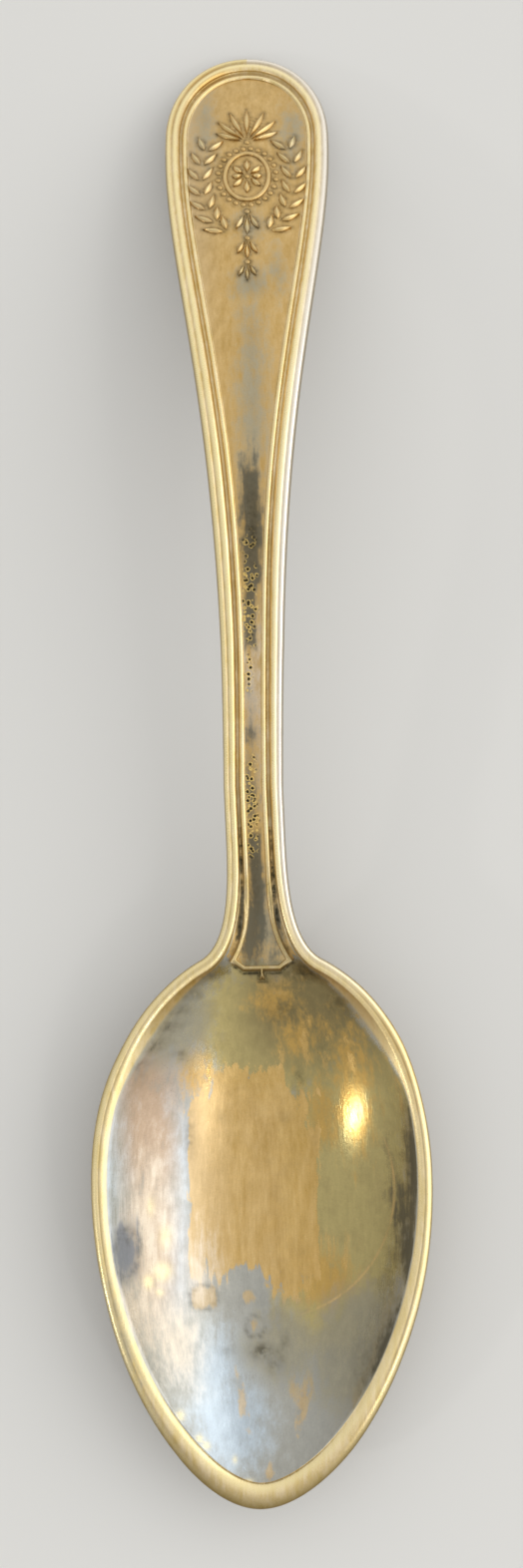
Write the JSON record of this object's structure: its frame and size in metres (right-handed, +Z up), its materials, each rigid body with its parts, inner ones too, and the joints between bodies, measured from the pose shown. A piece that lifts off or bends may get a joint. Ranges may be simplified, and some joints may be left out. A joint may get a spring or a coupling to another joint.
{
  "type": "teaspoon",
  "caption": "Teaspoon with a pointed oval bowl, an arched stem and a broad round-ended handle with a beaded border, a sunk panel and a relief of leaves.",
  "frame": {"origin": "middle of the spoon's length and width, on the table that it lies on", "axes": "+Y along the spoon from the bowl to the tip of the handle, +Z up out of the hollow, +X to the right"},
  "size_m": [0.031, 0.146, 0.017],
  "materials": {
    "worn_silver_plate": "silver plate worn through to brass in the hollow, satin with fine scratches",
    "tarnished_plate": "silver plate rubbed to gold on the beads, with dark tarnish in the grooves and panel",
    "rubbed_relief": "struck relief, bright on its high places and dark round its foot"
  },
  "bodies": {
    "root": {"bowl": "worn_silver_plate", "stem": "tarnished_plate", "handle": "tarnished_plate", "crest": "rubbed_relief"}
  },
  "joints": []
}
